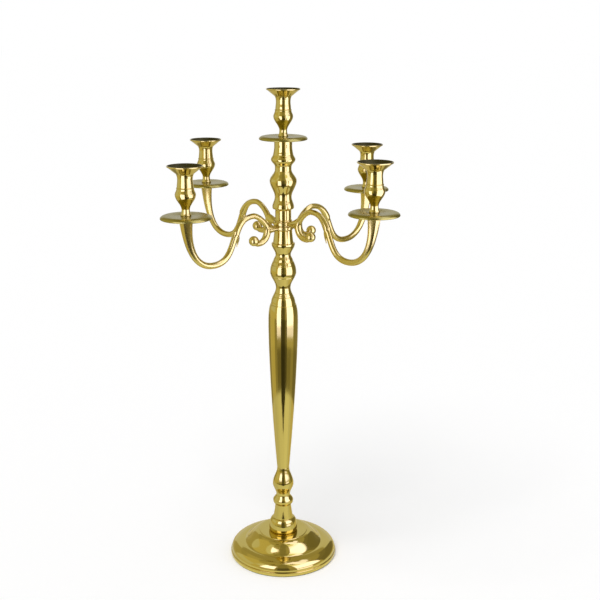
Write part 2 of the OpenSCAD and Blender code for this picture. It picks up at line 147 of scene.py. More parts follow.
class ArmSizes(bpy.types.PropertyGroup):
    """Sizes of one scrolled arm, in its own upright plane."""

    ring: size("Ring", 34.4, "Diameter of the hub ring")
    ring_height: size("Ring height", 7.5, "Height of the hub ring")
    reach: size("Reach", 206.6, "Distance of the cup from the stem's axis")
    rise: size("Rise", 44.8, "Height of the cup's seat over the ring's middle")
    bend_reach: size("Bend reach", 152, "Distance of the bend's lowest point from the axis")
    bend_drop: size("Bend drop", 42.3, "Depth of that point under the ring's middle")
    crest_reach: size("Crest reach", 68, "Distance of the crest from the axis")
    crest_rise: size("Crest rise", 27.7, "Height of the crest over the ring's middle")
    back_reach: size("Back reach", 36.5, "Distance of the arm's back from the axis")
    scroll_reach: size("Scroll reach", 54, "Distance of the scroll's lowest point from the axis")
    scroll_drop: size("Scroll drop", 20, "Depth of that point under the ring's middle")
    end: size("Arm end", 22.4, "Diameter of the arm under its cup")
    branch: size("Branch", 10.4, "Diameter of the branch round the bend")
    sheath: size("Sheath", 12.6, "Diameter of the leaf sheath where the branch leaves it")
    crest: size("Crest", 9.2, "Diameter of the sheath over the crest")
    back: size("Back", 12.4, "Diameter of the arm's back")
    scroll: size("Scroll", 10.4, "Diameter of the scroll")
    ball: size("Ball", 17, "Diameter of the ball that ends the scroll")


class CupSizes(bpy.types.PropertyGroup):
    """Sizes of the candle cups and drip pans."""

    socket: size("Socket", 22, "Diameter of the candle socket")
    socket_wall: size("Socket wall", 1.15, "Wall of the cup round the socket")
    socket_depth: size("Socket depth", 26, "Depth of the straight part of the socket")
    bulb: size("Cup bulb", 33, "Diameter of the cup's bulb")
    waist: size("Cup waist", 13, "Diameter of the cup's waist")
    stud_hole: size("Stud hole", 6.1, "Diameter of the hole for the stud")
    stud_depth: size("Stud depth", 12, "Depth of that hole in the cup")
    pan_plate: size("Pan plate", 2, "Thickness of a drip pan")


class Finishes(bpy.types.PropertyGroup):
    """Colours and gloss of the metals and the felt."""

    brass: colour("Brass", (0.65, 0.52, 0.12), "Colour of the polished brass")
    brass_deep: colour("Deep brass", (0.60, 0.46, 0.09), "Colour where lacquer warmed the brass")
    brass_roughness: share("Brass roughness", 0.09, "Roughness of the turned brass")
    cast_roughness: share("Casting roughness", 0.21, "Roughness of the cast arms")
    spun_brass: colour("Spun brass", (0.36, 0.31, 0.055), "Colour of the drip pans")
    spun_roughness: share("Spun roughness", 0.26, "Roughness of the drip pans")
    # Painted shade: this near-black colour on the inside of the cups stands for the shade deep in
    # their sockets
    painted_cup_shade: colour("Raw brass", (0.09, 0.08, 0.018), "Colour of the dull brass inside the cups")
    zinc: colour("Zinc", (0.55, 0.56, 0.58), "Colour of the zinc-plated steel")
    felt: colour("Felt", (0.03, 0.075, 0.045), "Colour of the felt under the foot")


class Studio(bpy.types.PropertyGroup):
    """Camera and light."""

    azimuth: turn("Azimuth", 47.137, "Direction of the camera round the stem")
    pitch: turn("Pitch", 15.374, "How far the camera looks down")
    aside: bpy.props.FloatProperty(
        name="Aside", description="Shift of the lens past the stem, as a share of the view's width",
        default=0.028,
    )
    distance: size("Distance", 1707.6, "Level distance of the camera from the stem")
    height: size("Height", 951.8, "Height of the camera")
    lens: bpy.props.FloatProperty(
        name="Lens", description="Focal length of the camera, in millimetres",
        default=61.28, min=1.0,
    )
    floor_grey: share("Floor", 0.985, "Lightness of the floor")


# ---- Outlines of turned pieces ----
# A curve gives, for t from nought to one, the share of the way across and the share of the way up
def ease(t):
    """Upright at both ends, as between a neck and a belly."""
    return (1 - cos(pi * t)) / 2, t


def shoulder(t):
    """Leaves upright and arrives level."""
    return 1 - cos(pi / 2 * t), sin(pi / 2 * t)


def roll(t):
    """Leaves level and arrives upright."""
    return sin(pi / 2 * t), 1 - cos(pi / 2 * t)


def flare(power):
    """Leaves upright and opens towards the next station."""
    return lambda t: (t**power, t)


def swell(power):
    """Leaves open and arrives upright."""
    return lambda t: (1 - (1 - t) ** power, t)


def ogee(lean):
    """Level at both ends, as between a flange and a dome; below one, it rises sooner."""
    return lambda t: (t, (1 - cos(pi * t**lean)) / 2)


def turned(*stations, steps=CURVE_STEPS):
    """An outline through stations, each a radius, a height and the curve to the next one."""
    outline = []
    for (r0, z0, *curve), (r1, z1, *_) in zip(stations, stations[1:]):
        if not curve:
            outline.append((r0, z0))
            continue
        for i in range(steps):
            across, up = curve[0](i / steps)
            outline.append((r0 + (r1 - r0) * across, z0 + (z1 - z0) * up))
    return [*outline, stations[-1][:2]]


def inset(outline, wall):
    """An outline moved inwards by a wall."""
    moved = []
    before, after = [outline[0], *outline], [*outline[1:], outline[-1]]
    for (r, z), (r0, z0), (r1, z1) in zip(outline, before, after):
        length = hypot(r1 - r0, z1 - z0)
        moved.append((r - wall * (z1 - z0) / length, z + wall * (r1 - r0) / length))
    return moved


def scored(outline, heights):
    """An outline with a fine V line turned into it at each height."""
    width, depth = 0.6 * MM, 0.5 * MM
    for z in heights:
        below = [point for point in outline if point[1] < z - width]
        above = [point for point in outline if point[1] > z + width]
        (r0, z0), (r1, z1) = below[-1], above[0]
        line = []
        for aside, cut in ((-width, 0), (0, depth), (width, 0)):
            line.append((r0 + (r1 - r0) * (z + aside - z0) / (z1 - z0) - cut, z + aside))
        outline = [*below, *line, *above]
    return outline


# ---- Meshes ----
def spin_loop(loop, closed):
    """A mesh spun round the upright axis from points in radius and height."""
    bm = bmesh.new()
    verts = [bm.verts.new((r, 0, z)) for r, z in loop]
    ends = zip(verts, [*verts[1:], verts[0]] if closed else verts[1:])
    edges = [bm.edges.new(pair) for pair in ends]
    bmesh.ops.spin(
        bm, geom=verts + edges, axis=(0, 0, 1), cent=(0, 0, 0),
        angle=2 * pi, steps=SPIN_STEPS, use_merge=True,
    )
    bmesh.ops.remove_doubles(bm, verts=bm.verts[:], dist=WELD)
    return bm


def round_edges(bm, width):
    """Rounds every sharp edge of a spun mesh over a small width."""
    sharp = [e for e in bm.edges if len(e.link_faces) == 2 and e.calc_face_angle() > CRISP]
    bmesh.ops.bevel(
        bm, geom=sharp, offset=width, offset_type="OFFSET", segments=2, profile=0.5,
        affect="EDGES", material=-1, clamp_overlap=True,
    )
    bmesh.ops.remove_doubles(bm, verts=bm.verts[:], dist=WELD)


def spin_solid(outline, bore=0.0, rounding=ROUNDING):
    """A turned solid inside an outline, closed on the axis or on a bore."""
    loop = [(bore / 2, outline[0][1]), *outline, (bore / 2, outline[-1][1])]
    bm = spin_loop(loop, closed=bore > 0)
    round_edges(bm, rounding)
    bmesh.ops.recalc_face_normals(bm, faces=bm.faces[:])
    return bm


def finish_piece(bm, name, body, nodes, finish):
    """Makes the mesh a piece that stands for CAD nodes, rides on a body and takes a finish."""
    for face in bm.faces:
        face.smooth = True
    for edge in bm.edges:
        edge.smooth = len(edge.link_faces) != 2 or edge.calc_face_angle() < CRISP
    mesh = bpy.data.meshes.new(name)
    bm.to_mesh(mesh)
    bm.free()
    piece = bpy.data.objects.new(name, mesh)
    bpy.context.scene.collection.objects.link(piece)
    mesh.materials.append(finish())
    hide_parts(*nodes)
    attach(piece, body)
    return piece


def centre_of(node):
    """Middle of a node's box, on the height of its foot."""
    low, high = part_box(node)
    return Vector(((low.x + high.x) / 2, (low.y + high.y) / 2, low.z))


def heights_of(node):
    """Heights of a node's foot and top."""
    low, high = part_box(node)
    return low.z, high.z


# ---- Materials ----
class Shade:
    """A shader socket that takes part in arithmetic."""

    def __init__(self, tree, socket):
        self.tree, self.socket = tree, socket

    def math(self, operation, *values):
        return self.tree.node("ShaderNodeMath", {"operation": operation}, *values)

    def __add__(self, other):
        return self.math("ADD", self, other)

    def __sub__(self, other):
        return self.math("SUBTRACT", self, other)

    def __mul__(self, other):
        return self.math("MULTIPLY", self, other)

    def __radd__(self, other):
        return self.math("ADD", other, self)

    def __rsub__(self, other):
        return self.math("SUBTRACT", other, self)

    def clamp(self):
        return self.tree.node("ShaderNodeClamp", {}, self)


class Tree:
    """The node tree of one material or of the world."""

    def __init__(self, owner):
        owner.use_nodes = True
        self.nodes, self.links = owner.node_tree.nodes, owner.node_tree.links
        self.nodes.clear()

    def node(self, kind, settings, *inputs, out=0, **named):
        """A node with its settings, then the values or links of its sockets; gives one output."""
        made = self.nodes.new(kind)
        for key, value in settings.items():
            setattr(made, key, value)
        for key, value in [*enumerate(inputs), *named.items()]:
            self.feed(made.inputs[key if isinstance(key, int) else key.replace("_", " ")], value)
        return Shade(self, made.outputs[out]) if made.outputs else None

    def feed(self, socket, value):
        """Links a shade to a socket, or sets a plain value on it."""
        if isinstance(value, Shade):
            self.links.new(value.socket, socket)
        else:
            socket.default_value = value

    def mix(self, factor, a, b):
        """A mix of two colours, whose sockets have the indices 6 and 7 in and 2 out."""
        made = self.nodes.new("ShaderNodeMix")
        made.data_type = "RGBA"
        for index, value in ((0, factor), (6, a), (7, b)):
            self.feed(made.inputs[index], value)
        return Shade(self, made.outputs[2])

    def stretched(self, scales):
        """Object coordinates drawn out by a scale on each axis."""
        place = self.node("ShaderNodeTexCoord", {}, out="Object")
        return self.node("ShaderNodeVectorMath", {"operation": "MULTIPLY"}, place, scales)

    def noise(self, scales, detail=2.0):
        """Smooth noise, with a number of features to the metre on each axis."""
        place = self.stretched(scales)
        return self.node("ShaderNodeTexNoise", {}, Vector=place, Scale=1.0, Detail=detail)

    def bump(self, height, depth, strength=0.5):
        """A relief of a depth in metres."""
        return self.node("ShaderNodeBump", {}, Strength=strength, Distance=depth, Height=height)

    def surface(self, colour, roughness, bump, **constants):
        """A metal or cloth surface that ends the tree."""
        shader = self.node(
            "ShaderNodeBsdfPrincipled", {},
            Base_Color=colour, Roughness=roughness, Normal=bump, **constants,
        )
        self.node("ShaderNodeOutputMaterial", {}, shader)


def rgba(rgb):
    return (*rgb, 1.0)


def finishes():
    return bpy.context.scene.candelabra_finishes


def material_named(name):
    """The material of that name and its tree, which is None where the material is made already."""
    found = bpy.data.materials.get(name)
    if found:
        return found, None
    material = bpy.data.materials.new(name)
    return material, Tree(material)


def brass(name, colours, roughness, relief, grain, coat=0.15):
    """Lacquered brass: faint clouds of colour, wiped gloss, and the marks of its making."""
    material, tree = material_named(name)
    if tree:
        clouds = tree.noise((14, 14, 9), 3.0)
        wipes = tree.noise((60, 60, 20), 3.0)
        tint = tree.mix(((clouds - 0.45) * 1.5).clamp(), *(rgba(shown) for shown in colours))
        bump = tree.bump(tree.noise(grain), relief)
        gloss = roughness + (wipes - 0.5) * 0.05
        tree.surface(tint, gloss, bump, Metallic=1.0, Coat_Weight=coat, Coat_Roughness=0.08)
    return material


def turned_brass():
    """Brass off the lathe, with its fine rings polished almost away."""
    shown = finishes()
    colours = (shown.brass, shown.brass_deep)
    return brass("turned_brass", colours, shown.brass_roughness, 0.004 * MM, (30, 30, 2400))


def spun_brass():
    """The pans' brass, spun thin and buffed only lightly."""
    shown = finishes()
    colours = (shown.spun_brass, shown.brass_deep)
    return brass("spun_brass", colours, shown.spun_roughness, 0.02 * MM, (900, 900, 30), coat=0.0)


def painted_cup_shade():
    """Brass inside the candle cups, dull from the tool; its near-black colour is painted shade for
    the depth of the socket.
    """
    material, tree = material_named("painted_cup_shade")
    if tree:
        clouds, marks = tree.noise((60, 60, 60), 3.0), tree.noise((60, 60, 1800))
        # Painted shade: both colours are near black for the shade in the socket; the clouds only
        # vary it
        tint = tree.mix(clouds, rgba(finishes().painted_cup_shade), (0.045, 0.042, 0.012, 1.0))
        tree.surface(tint, 0.5 + clouds * 0.1, tree.bump(marks, 0.03 * MM), Metallic=1.0)
    return material


def cast_brass():
    """Brass out of the mould, filed and buffed by hand."""
    shown = finishes()
    colours = (shown.brass, shown.brass_deep)
    return brass("cast_brass", colours, shown.cast_roughness, 0.3 * MM, (140, 140, 140))


def zinc_steel():
    """Zinc plate: grey with a soft crystal bloom."""
    material, tree = material_named("zinc_steel")
    if tree:
        bloom = tree.noise((400, 400, 400), 4.0)
        tint = tree.mix((bloom * 0.5).clamp(), rgba(finishes().zinc), (0.75, 0.74, 0.66, 1.0))
        bump = tree.bump(bloom, 0.02 * MM, strength=0.4)
        tree.surface(tint, 0.3 + bloom * 0.15, bump, Metallic=1.0)
    return material


def green_felt():
    """Pressed felt: a nap of short fibres in uneven green."""
    material, tree = material_named("green_felt")
    if tree:
        nap = tree.noise((1500, 1500, 1500), 4.0)
        tufts = tree.noise((180, 180, 180), 2.0)
        fibres = (nap * 0.7 + tufts * 0.3).clamp()
        tint = tree.mix(fibres, rgba(finishes().felt), (0.09, 0.16, 0.10, 1.0))
        bump = tree.bump(nap + tufts, 0.3 * MM, strength=0.8)
        tree.surface(tint, 0.95 - nap * 0.1, bump, Sheen_Weight=0.4)
    return material


# ---- The foot and the stem ----
def foot_slope(sizes, foot_r, lip_z, seat_z):
    """Flange and dome, from the lip up to the disc."""
    groove_height, flange_step, disc_step, dome_lean = 1.6 * MM, 0.6 * MM, 1.2 * MM, 0.8
    flange_r = foot_r - sizes.groove_depth + flange_step
    return turned(
        (flange_r, lip_z + sizes.lip_height + groove_height, shoulder),
        (sizes.crease_width / 2, lip_z + sizes.crease_height, ogee(dome_lean)),
        (sizes.disc_width / 2, seat_z - disc_step), steps=40,
    )


class MakeFoot(bpy.types.Operator):
    """Spin the foot: rolled lip, flange, dome and seat disc, hollow underneath"""

    bl_idname = "candelabra.foot"
    bl_label = "Foot"

    def execute(self, context):
        sizes, bore = context.scene.candelabra_foot, context.scene.candelabra_stem.rod_hole / 2
        lip_z, seat_z = heights_of("foot")
        foot_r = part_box("foot")[1].x
        lip_round, lip_width, disc_edge, groove_step = 0.8 * MM, 5 * MM, 0.9 * MM, 0.4 * MM
        groove_z, groove_r = lip_z + sizes.lip_height, foot_r - sizes.groove_depth
        disc_r, under_seat = sizes.disc_width / 2, seat_z - sizes.wall
        slope = foot_slope(sizes, foot_r, lip_z, seat_z)
        outside = [
            *turned((foot_r - lip_round, lip_z, roll),
                    (foot_r, lip_z + sizes.lip_height / 2, shoulder),
                    (foot_r - lip_round, groove_z), (groove_r, groove_z + groove_step),
                    (groove_r, groove_z + 2 * groove_step)),
            *slope,
            *turned((disc_r, seat_z - disc_edge, shoulder), (disc_r - disc_edge, seat_z)),
        ]
        hole = [(bore, seat_z), (bore, under_seat)]
        lip_r = foot_r - lip_width
        inside = [(min(r, lip_r), min(z, under_seat)) for r, z in inset(slope, sizes.wall)]
        bm = spin_loop([(lip_r, lip_z), *outside, *hole, *reversed(inside)], closed=True)
        round_edges(bm, ROUNDING)
        bmesh.ops.recalc_face_normals(bm, faces=bm.faces[:])
        finish_piece(bm, "domed_foot", "stem", ["foot"], turned_brass)
        return {"FINISHED"}


def lower_knop_outline(sizes, z0, z1):
    bulb_r, cone_r, bead_r = sizes.lower_bulb / 2, sizes.cone_neck / 2, sizes.lower_bead / 2
    bulb_z, bead_z, pear_z = z0 + 5 * MM, z1 - 72.5 * MM, z1 - 31.5 * MM
    cone_z = bulb_z + 20.5 * MM
    return turned(
        (bulb_r - 2.3 * MM, z0, roll), (bulb_r, bulb_z, shoulder), (bulb_r - 8 * MM, cone_z),
        (cone_r + 3.4 * MM, cone_z + 0.6 * MM, swell(1.4)), (cone_r, bead_z),
        (cone_r + 0.8 * MM, bead_z + 1.2 * MM, roll), (bead_r, bead_z + 8 * MM, ease),
        (sizes.pear_neck / 2, bead_z + 19.5 * MM, ease), (sizes.pear / 2, pear_z, ease),
        (sizes.column_foot / 2, z1),
    )


def column_outline(sizes, z0, z1):
    top_r, shoulder_z = sizes.column / 2, z1 - 27 * MM
    outline = turned(
        (sizes.column_foot / 2, z0, swell(1.55)), (top_r, z1 - 67 * MM, flare(3.3)),
        (top_r - 3.2 * MM, shoulder_z - 3 * MM), (top_r - 4.2 * MM, shoulder_z - 2.6 * MM),
        (top_r - 4.2 * MM, shoulder_z - 1.4 * MM), (top_r - 4.8 * MM, shoulder_z, ease),
        (sizes.waist / 2, z1), steps=36,
    )
    return scored(outline, [shoulder_z + 11.5 * MM, shoulder_z + 18 * MM])


def upper_knop_outline(sizes, z0, z1):
    bulb_r, cove_r, bead_r, top_r = (
        width / 2 for width in (sizes.knop_bulb, sizes.knop_cove, sizes.knop_bead, sizes.knop_top)
    )
    bulb_z, cove_z, bead_z = z0 + 28 * MM, z0 + 57.5 * MM, z0 + 77 * MM
    ring_z = bulb_z + 18.5 * MM
    outline = turned(
        (sizes.waist / 2, z0, ease), (bulb_r, bulb_z, flare(2)), (bulb_r - 4.9 * MM, ring_z),
        (bulb_r - 5.6 * MM, ring_z + 0.4 * MM), (bulb_r - 5.6 * MM, ring_z + 1.6 * MM),
        (cove_r + 3.3 * MM, ring_z + 2 * MM, ease), (cove_r, cove_z, ease),
        (bead_r, bead_z, shoulder), (bead_r - 1.2 * MM, bead_z + 1.6 * MM),
        (top_r + 2.3 * MM, bead_z + 2 * MM, swell(1.6)),
        (top_r, z1 - KNOP_EDGE), (top_r - KNOP_EDGE, z1),
    )
    return scored(outline, [bulb_z - 8.5 * MM, bulb_z + 12.5 * MM])


def top_column_outline(sizes, z0, z1):
    sleeve_r, small_r, waist_r, bulb_r, neck_r, bead_r, shaft_r = (
        width / 2 for width in (sizes.sleeve, sizes.small_bead, sizes.top_waist, sizes.top_bulb,
                                sizes.top_neck, sizes.top_bead, sizes.shaft)
    )
    small_z, bulb_z, bead_z = z0 + 24 * MM, z0 + 68.5 * MM, z0 + 104 * MM
    return turned(
        (sleeve_r + 0.6 * MM, z0), (sleeve_r + 1.4 * MM, z0 + 0.8 * MM, shoulder),
        (sleeve_r, z0 + 2.4 * MM), (sleeve_r, small_z - 6 * MM, flare(2)),
        (sleeve_r + 1.2 * MM, small_z - 3.6 * MM), (small_r - 2 * MM, small_z - 3.2 * MM, roll),
        (small_r, small_z, ease), (waist_r, z0 + 41 * MM, ease), (bulb_r, bulb_z, ease),
        (neck_r, bulb_z + 19 * MM), (neck_r, bead_z - 12 * MM, ease), (bead_r, bead_z, ease),
        (shaft_r + 1.6 * MM, bead_z + 10 * MM, swell(2)), (shaft_r, z1 - 14 * MM), (shaft_r, z1),
    )


class MakeStem(bpy.types.Operator):
    """Spin the knops, the column and the top column"""

    bl_idname = "candelabra.stem"
    bl_label = "Stem"

    def execute(self, context):
        sizes = context.scene.candelabra_stem
        outlines = {
            "lower_knop": lower_knop_outline,
            "column": column_outline,
            "upper_knop": upper_knop_outline,
            "top_column": top_column_outline,
        }
        for node, outline in outlines.items():
            bm = spin_solid(outline(sizes, *heights_of(node)), sizes.rod_hole)
            finish_piece(bm, "turned_" + node, "stem", [node], turned_brass)
        return {"FINISHED"}


# ---- The arms ----
class Hoop:
    """One hoop of a bent pipe: its place and heading in the arm's plane, and its two radii."""

    def __init__(self, place, heading, in_plane, across=None, shape=None):
        self.place, self.heading = place, heading.normalized()
        self.in_plane, self.across = in_plane, across or in_plane
        self.shape = shape or (lambda angle: 1.0)

    def point(self, angle, width):
        """Where the hoop is at an angle; nought faces the inside of the next bend."""
        reach = width * self.shape(angle)
        side = reach * self.in_plane * cos(angle)
        return Vector((self.place.x - self.heading.y * side, reach * self.across * sin(angle),
                       self.place.y + self.heading.x * side))


def bent_pipe(bm, hoops, sides):
    """Rolls a flat grid into a pipe through hoops, and closes it at both ends."""
    rows = len(hoops) + 1
    for vert in bmesh.ops.create_grid(bm, x_segments=sides, y_segments=rows, size=1.0)["verts"]:
        row = round((vert.co.y + 1) / 2 * rows)
        hoop = hoops[min(max(row - 1, 0), len(hoops) - 1)]
        vert.co = hoop.point(pi * (1 + vert.co.x), 0.0 if row in (0, rows) else 1.0)


def blend(a, b, t):
    """From a to b, level at both ends."""
    return a + (b - a) * (1 - cos(pi * max(0.0, min(1.0, t)))) / 2


def cubic(curve, t):
    """Place and heading at t along a cubic curve."""
    a, b, c, d = curve
    s = 1 - t
    place = s**3 * a + 3 * s * s * t * b + 3 * s * t * t * c + t**3 * d
    return place, s * s * (b - a) + 2 * s * t * (c - b) + t * t * (d - c)


def flats(angle, count):
    """The radius of a many-sided bar at an angle, against a round one."""
    half = pi / count
    return cos(half) / cos((angle + half) % (2 * half) - half)


def ribbed(angle, height):
    """Ribs on the upper side of the leaf sheath, at a share of their height."""
    count, depth = 6, 0.05
    return depth * cos(count * angle) * height * max(0.0, -cos(angle)) ** 0.5


def arm_hoops(arm):
    """Hoops of the arm: down from the cup, round the bend, over the crest and into the scroll."""
    seat, bend = Vector((arm.reach, arm.rise)), Vector((arm.bend_reach, -arm.bend_drop))
    crest, back = Vector((arm.crest_reach, arm.crest_rise)), Vector((arm.back_reach, 0))
    scroll = Vector((arm.scroll_reach, -arm.scroll_drop))
    down, along = Vector((0, -1)) * MM, Vector((1, 0)) * MM
    ball, ball_r = scroll + 12.5 * along - 5.5 * down, arm.ball / 2
    into_ball = Vector((cos(radians(40)), sin(radians(40))))
    ball_start, ball_stop = asin(arm.scroll / arm.ball), radians(178)
    ball_mouth = ball - ball_r * cos(ball_start) * into_ball
    # Each curve's ends and, between them, how many millimetres it keeps each end's heading
    curves = [
        (seat, seat + 65 * down, bend + 30 * along, bend),
        (bend, bend - 54 * along, crest + 54 * along, crest),
        (crest, crest - 12 * along, back - 10 * down, back),
        (back, back + 12 * down, scroll - 9 * along, scroll),
        (scroll, scroll + 3 * along, ball_mouth - 2 * MM * into_ball, ball_mouth),
    ]

    def calyx(t):
        """The flared end under the cup: a rounded lip, then six flats that fade into the branch."""
        lip_depth, lip_end, flats_end, flats_width = 0.14, 0.035, 0.62, 0.95
        lip = 1 - lip_depth * max(0.0, 1 - t / lip_end) ** 2
        fade = max(0.0, 1 - t / flats_end)
        return lambda angle: lip * (1 + fade * (flats(angle, 6) - flats_width))

    def sheathed(t):
        """The leaf sheath: its end slants round the branch, and it is ribbed on top."""
        middle, slant, edge_width, ribs_span = 0.585, 0.018, 0.03, 0.1

        def shape(angle):
            edge = middle - slant * cos(angle)
            inside = blend(0, 1, (t - edge + edge_width / 2) / edge_width)
            ribs = ribbed(angle, blend(0, 1, (t - edge) / ribs_span))
            return 1 + inside * (arm.sheath / arm.branch - 1) + ribs
        return shape

    def crested(t):
        """The ribs of the sheath run over the crest and fade down the back."""
        return lambda angle: 1 + ribbed(angle, 1 - t)

    def branch_end(t):
        return (arm.branch + (arm.end - arm.branch) * (1 - t) ** 4) / 2

    def sheath_end(t):
        start, span = 0.6, 0.32
        return blend(arm.branch, arm.branch * arm.crest / arm.sheath, (t - start) / span) / 2

    def back_end(t):
        return (arm.crest + (arm.back - arm.crest) * t**3) / 2

    # How many steps each curve has, its radius and its shape
    spans = [
        (40, branch_end, calyx),
        (60, sheath_end, sheathed),
        (24, back_end, crested),
        (18, lambda t: blend(arm.back, arm.scroll, t) / 2, None),
        (4, lambda t: arm.scroll / 2, None),
    ]
    hoops = []
    for curve, (steps, radius, shape) in zip(curves, spans):
        for i in range(1 if hoops else 0, steps + 1):
            t = i / steps
            hoops.append(Hoop(*cubic(curve, t), radius(t), shape=shape and shape(t)))
    ball_steps = 14
    for i in range(1, ball_steps + 1):
        a = ball_start + (ball_stop - ball_start) * i / ball_steps
        hoops.append(Hoop(ball - ball_r * cos(a) * into_ball, into_ball, ball_r * sin(a)))
    return hoops


def leaf_tip_hoops(arm):
    """The sheath's pointed tip, which curls off the branch towards the stem."""
    root = Vector((arm.bend_reach - 46.5 * MM, 4 * MM))
    curve = [root - Vector(step) * MM for step in ((0, 0), (3.5, 8), (5, 16), (1.5, 23))]
    steps, root_r, tip_r, fullness = 16, 5.4 * MM, 0.8 * MM, 0.1
    return [
        Hoop(*cubic(curve, i / steps), blend(root_r, tip_r, i / steps),
             shape=lambda angle: flats(angle, 4) + fullness)
        for i in range(steps + 1)
    ]


def web_hoops(arm):
    """The web between the ring and the arm's back."""
    ring_r, rooted, sunk, margin = arm.ring / 2, 4 * MM, 2.5 * MM, 0.4 * MM
    curve = [Vector((ring_r - rooted, 0)), Vector((ring_r + rooted, 0)),
             Vector((arm.back_reach - 8 * MM, 1 * MM)), Vector((arm.back_reach + sunk, 3 * MM))]
    steps, web_width, web_end_height = 14, 14 * MM, 18 * MM
    hoops = []
    for i in range(steps + 1):
        t = i / steps
        height = blend(arm.ring_height / 2 - margin, web_end_height / 2, t)
        hoops.append(Hoop(*cubic(curve, t), height, blend(web_width / 2, arm.back / 2 - margin, t)))
    return hoops


class MakeArms(bpy.types.Operator):
    """Sweep the two double arms, each on its hub ring"""

    bl_idname = "candelabra.arms"
    bl_label = "Arms"

    def execute(self, context):
        arm, stem = context.scene.candelabra_arm, context.scene.candelabra_stem
        low_z, high_z = heights_of("upper_knop")[1], heights_of("top_column")[0]
        pairs = {
            "lower_arms": ("lower_arm_set", low_z, (-90, 90)),
            "upper_arms": ("upper_arm_set", high_z - arm.ring_height, (0, 180)),
        }
        for node, (body, ring_z, directions) in pairs.items():
            bm = self.ring(arm, stem, ring_z)
            for degrees in directions:
                self.add_arm(bm, arm, ring_z + arm.ring_height / 2, radians(degrees))
            finish_piece(bm, "cast_" + node, body, [node], cast_brass)
        return {"FINISHED"}

    def ring(self, arm, stem, ring_z):
        """The hub ring, with a shadow gap turned into each face and a hair of room at each seat."""
        relief, edge, ring_r = 1.1 * MM, 0.8 * MM, arm.ring / 2
        room, seat_r = 0.03 * MM, stem.knop_top / 2 - KNOP_EDGE
        foot, top = ring_z + room, ring_z + arm.ring_height - room
        low_z, high_z = ring_z + relief, ring_z + arm.ring_height - relief
        outline = turned(
            (seat_r, foot), (seat_r, low_z), (ring_r - edge, low_z, roll), (ring_r, low_z + edge),
            (ring_r, high_z - edge, shoulder), (ring_r - edge, high_z), (seat_r, high_z),
            (seat_r, top),
        )
        return spin_solid(outline, stem.rod_hole)

    def add_arm(self, bm, arm, ring_mid, direction):
        """One arm, its leaf tip and its web, turned to its direction on the ring."""
        part = bmesh.new()
        for make_hoops, sides in ((arm_hoops, 48), (leaf_tip_hoops, 20), (web_hoops, 32)):
            bent_pipe(part, make_hoops(arm), sides)
        bmesh.ops.remove_doubles(part, verts=part.verts[:], dist=WELD)
        bmesh.ops.recalc_face_normals(part, faces=part.faces[:])
        place = Matrix.Translation((0, 0, ring_mid)) @ Matrix.Rotation(direction, 4, "Z")
        bmesh.ops.transform(part, matrix=place, verts=part.verts[:])
        joined = bpy.data.meshes.new("arm")
        part.to_mesh(joined)
        part.free()
        bm.from_mesh(joined)
        bpy.data.meshes.remove(joined)


# ---- Cups and pans ----
def pan_outline(sizes, pan_r, pan_height):
    """A flat plate whose edge turns down to a rounded rim, from the middle of its underside."""
    skirt = pan_height - sizes.pan_plate
    return turned(
        (pan_r - 7.4 * MM, 0), (pan_r - 2.6 * MM, 1 * MM - skirt), (pan_r - 1.6 * MM, -skirt, roll),
        (pan_r, 1.3 * MM - skirt, shoulder), (pan_r - 8 * MM, sizes.pan_plate),
    )


def cup_loop(sizes, rim_r, height):
    """From the stud's hole over waist, bulb, neck and rim, then down the socket to its floor."""
    socket_r, hole_r = sizes.socket / 2, sizes.stud_hole / 2
    neck_r = socket_r + sizes.socket_wall
    mouth_z, line_z, neck_z = height - 14.5 * MM, height - 35.5 * MM, height - 21.5 * MM
    foot_r, hole_top = sizes.waist / 2 + 2 * MM, sizes.stud_depth
    outside = turned(
        (foot_r, 0), (foot_r, 0.8 * MM, swell(2)), (sizes.waist / 2, 8.8 * MM, ease),
        (sizes.bulb / 2, height - 45 * MM, ease), (neck_r + 1.6 * MM, line_z),
        (neck_r + 2.1 * MM, line_z + 0.7 * MM), (neck_r + 1.6 * MM, line_z + 1.6 * MM),
        (neck_r + 0.9 * MM, line_z + 2 * MM, ease), (neck_r, neck_z, flare(2.5)),
        (neck_r + 2 * MM, neck_z + 9 * MM), (rim_r - 1.1 * MM, height - 2.3 * MM, roll),
        (rim_r, height - 1 * MM, shoulder), (rim_r - 0.5 * MM, height),
    )
    inside = turned(
        (socket_r, mouth_z - sizes.socket_depth), (socket_r, mouth_z - 1 * MM, flare(1.6)),
        (socket_r + 2.4 * MM, height - 11.4 * MM), (rim_r - 1.9 * MM, height - 0.9 * MM),
        (rim_r - 1.5 * MM, height),
    )
    floor = [(0, mouth_z - sizes.socket_depth)]
    return [(0, hole_top), (hole_r, hole_top), (hole_r, 0), *outside, *reversed(inside), *floor]


